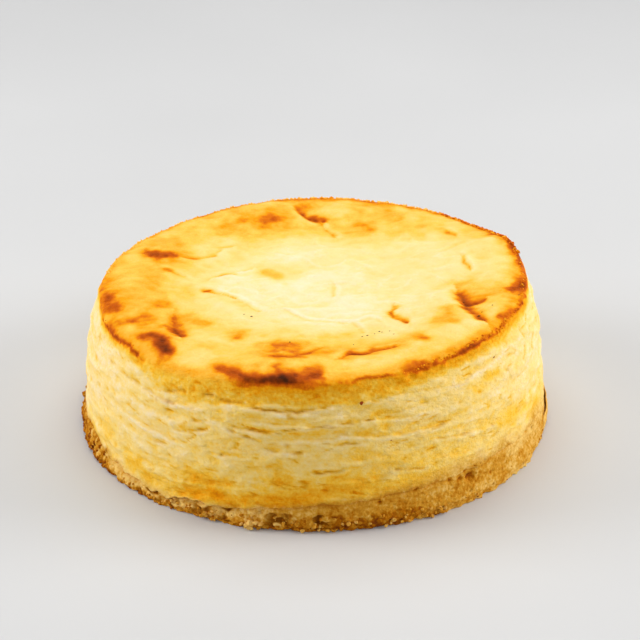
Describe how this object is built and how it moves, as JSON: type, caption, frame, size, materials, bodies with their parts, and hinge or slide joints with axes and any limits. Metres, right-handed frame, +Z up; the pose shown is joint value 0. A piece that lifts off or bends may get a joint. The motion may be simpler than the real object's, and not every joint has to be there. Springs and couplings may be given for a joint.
{
  "type": "baked cheesecake",
  "caption": "Tall round baked cheesecake, whole, with a scorched and folded golden top on a thin biscuit base; rests on its flat underside.",
  "frame": {"origin": "on the flat underside, below the middle of the cake", "axes": "+Z up through the top; -Y is the front; +X is the side that rose higher"},
  "size_m": [0.1971, 0.1987, 0.067],
  "materials": {
    "cheese_filling": "soft pale cream baked cheese, browned and scorched in patches on top, satin skin",
    "biscuit_base": "pressed tan biscuit crumb, dry and porous, golden along its bottom edge"
  },
  "bodies": {
    "root": {"cheese_filling": "cheese_filling", "biscuit_base": "biscuit_base"}
  },
  "joints": []
}
